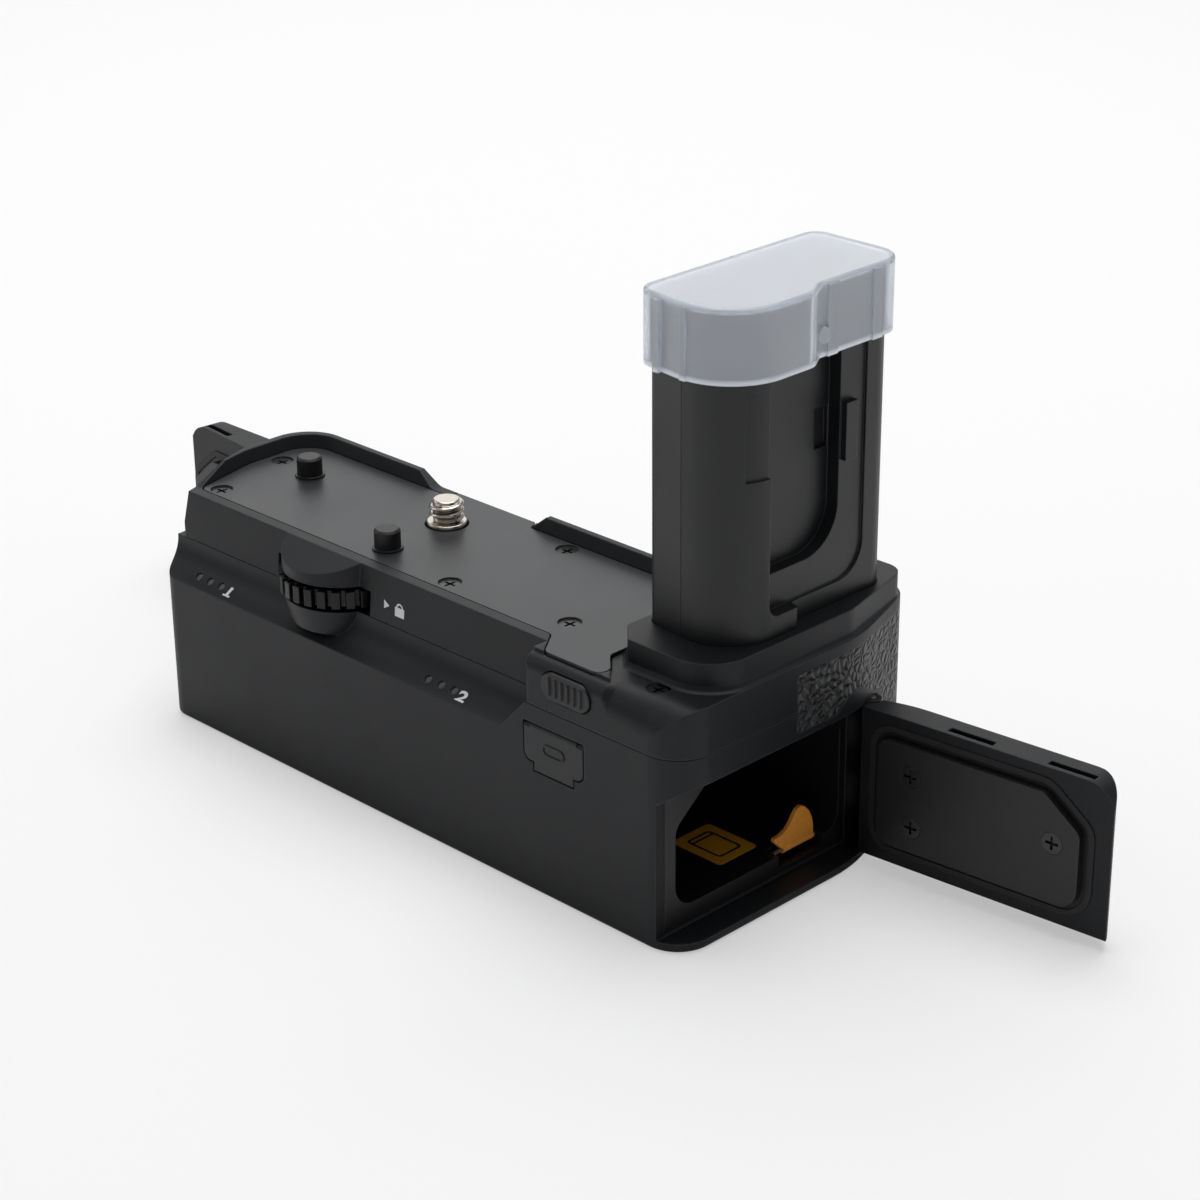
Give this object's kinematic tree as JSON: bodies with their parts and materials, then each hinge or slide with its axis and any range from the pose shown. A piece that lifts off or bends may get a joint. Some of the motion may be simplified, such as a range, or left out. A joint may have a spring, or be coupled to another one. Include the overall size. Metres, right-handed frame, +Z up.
{
  "type": "camera battery grip",
  "caption": "Battery grip for a camera: a long tub with a hinged door at each end, a thumb wheel that turns the camera screw, and a battery-shaped tower under a lift-off cap.",
  "frame": {"origin": "on the base plane, straight below the camera screw's axis", "axes": "+X along the grip towards the tower, +Y away from the viewer, +Z up"},
  "size_m": [0.2358, 0.0666, 0.1063],
  "materials": {
    "casing": "fine matte grain",
    "panel": "leather grain",
    "plate": "satin paint",
    "black_screw": "black oxide",
    "black_pin": "satin black",
    "steel": "turned",
    "brass": "plain",
    "liner": "matte",
    "catch": "satin orange",
    "contact": "gilt",
    "label": "printed film",
    "gasket": "matte",
    "knob": "fine ribs",
    "wheel": "satin",
    "cover": "matte",
    "board": "solder mask",
    "chip": "moulded",
    "light": "frosted",
    "tower": "satin",
    "cap": "milky clear plastic"
  },
  "bodies": {
    "case_body": {"lower_casing": "casing", "upper_casing": "casing", "grip_panel": "panel", "top_plate": "plate", "plate_screws": "black_screw", "locating_pins": "black_pin", "tripod_socket": "brass", "base_screws": "black_screw", "battery_chamber_right": "liner", "battery_chamber_left": "liner", "catch_pins": "steel", "contact_block_right": "liner", "contact_block_left": "liner", "contact_blades_right": "contact", "contact_blades_left": "contact", "chamber_labels": "label", "hinge_pins": "steel", "bearing_plate": "steel", "bearing_screws": "black_screw", "screw_bush": "brass", "charging_socket": "steel", "light_pipes_left": "light", "light_pipes_right": "light", "circuit_board": "board", "board_parts": "chip", "board_screws": "black_screw", "tower_left_shell": "tower", "tower_right_shell": "tower", "tower_contact_block": "chip", "tower_contact_blades": "contact", "wheel_axle": "steel"},
    "right_door_body": {"right_door_shell": "casing", "right_door_plate": "liner", "right_door_gasket": "gasket", "right_door_screws": "black_screw"},
    "left_door_body": {"left_door_shell": "casing", "left_door_plate": "liner", "left_door_gasket": "gasket", "left_door_screws": "black_screw"},
    "right_latch_body": {"right_door_latch": "knob"},
    "left_latch_body": {"left_door_latch": "knob"},
    "right_catch_body": {"right_battery_catch": "catch"},
    "left_catch_body": {"left_battery_catch": "catch"},
    "wheel_body": {"thumb_wheel": "wheel"},
    "screw_body": {"camera_screw": "steel", "screw_gear": "steel"},
    "button_body": {"check_button": "cover"},
    "cover_body": {"port_cover": "cover"},
    "cap_body": {"tower_cap": "cap"}
  },
  "joints": [
    {"name": "right_door_hinge", "type": "hinge", "parent": "case_body", "child": "right_door_body", "pos_m": [0.0832, 0.0211, 0.016], "axis": [0, 0, 1], "range_deg": [-95.5, 6]},
    {"name": "left_door_hinge", "type": "hinge", "parent": "case_body", "child": "left_door_body", "pos_m": [-0.0532, 0.0243, 0.016], "axis": [0, 0, -1], "range_deg": [-95.5, 6]},
    {"name": "right_latch_slide", "type": "slide", "parent": "right_door_body", "child": "right_latch_body", "axis": [-0.9954, -0.0958, 0], "range_m": [0, 0.002], "stiffness_N_per_m": 50},
    {"name": "left_latch_slide", "type": "slide", "parent": "left_door_body", "child": "left_latch_body", "axis": [0.9954, -0.0958, 0], "range_m": [0, 0.002], "stiffness_N_per_m": 50},
    {"name": "right_catch_hinge", "type": "hinge", "parent": "case_body", "child": "right_catch_body", "pos_m": [0.0774, 0.0089, 0.0049], "axis": [0, 1, 0], "range_deg": [0, 70], "stiffness_Nm_per_rad": 0.0005},
    {"name": "left_catch_hinge", "type": "hinge", "parent": "case_body", "child": "left_catch_body", "pos_m": [-0.0425, 0.0089, 0.0049], "axis": [0, -1, 0], "range_deg": [0, 70], "stiffness_Nm_per_rad": 0.0005},
    {"name": "wheel_spin", "type": "hinge", "parent": "case_body", "child": "wheel_body", "pos_m": [-0.0076, -0.01815, 0.03785], "axis": [0, 0, 1], "continuous": true},
    {"name": "screw_spin", "type": "hinge", "parent": "case_body", "child": "screw_body", "pos_m": [0, 0, 0.04], "axis": [0, 0, 1], "continuous": true},
    {"name": "check_button_press", "type": "slide", "parent": "case_body", "child": "button_body", "axis": [0, 1, 0], "range_m": [0, 0.0008], "stiffness_N_per_m": 400},
    {"name": "port_cover_hinge", "type": "hinge", "parent": "case_body", "child": "cover_body", "pos_m": [0.0563, -0.0276, 0.03115], "axis": [-1, 0, 0], "range_deg": [0, 100]},
    {"name": "tower_cap_lift", "type": "slide", "parent": "case_body", "child": "cap_body", "axis": [0, 0, 1], "range_m": [0, 0.03]}
  ],
  "couplings": [
    {"joint": "screw_spin", "follows": "wheel_spin", "ratio": -1.4}
  ]
}
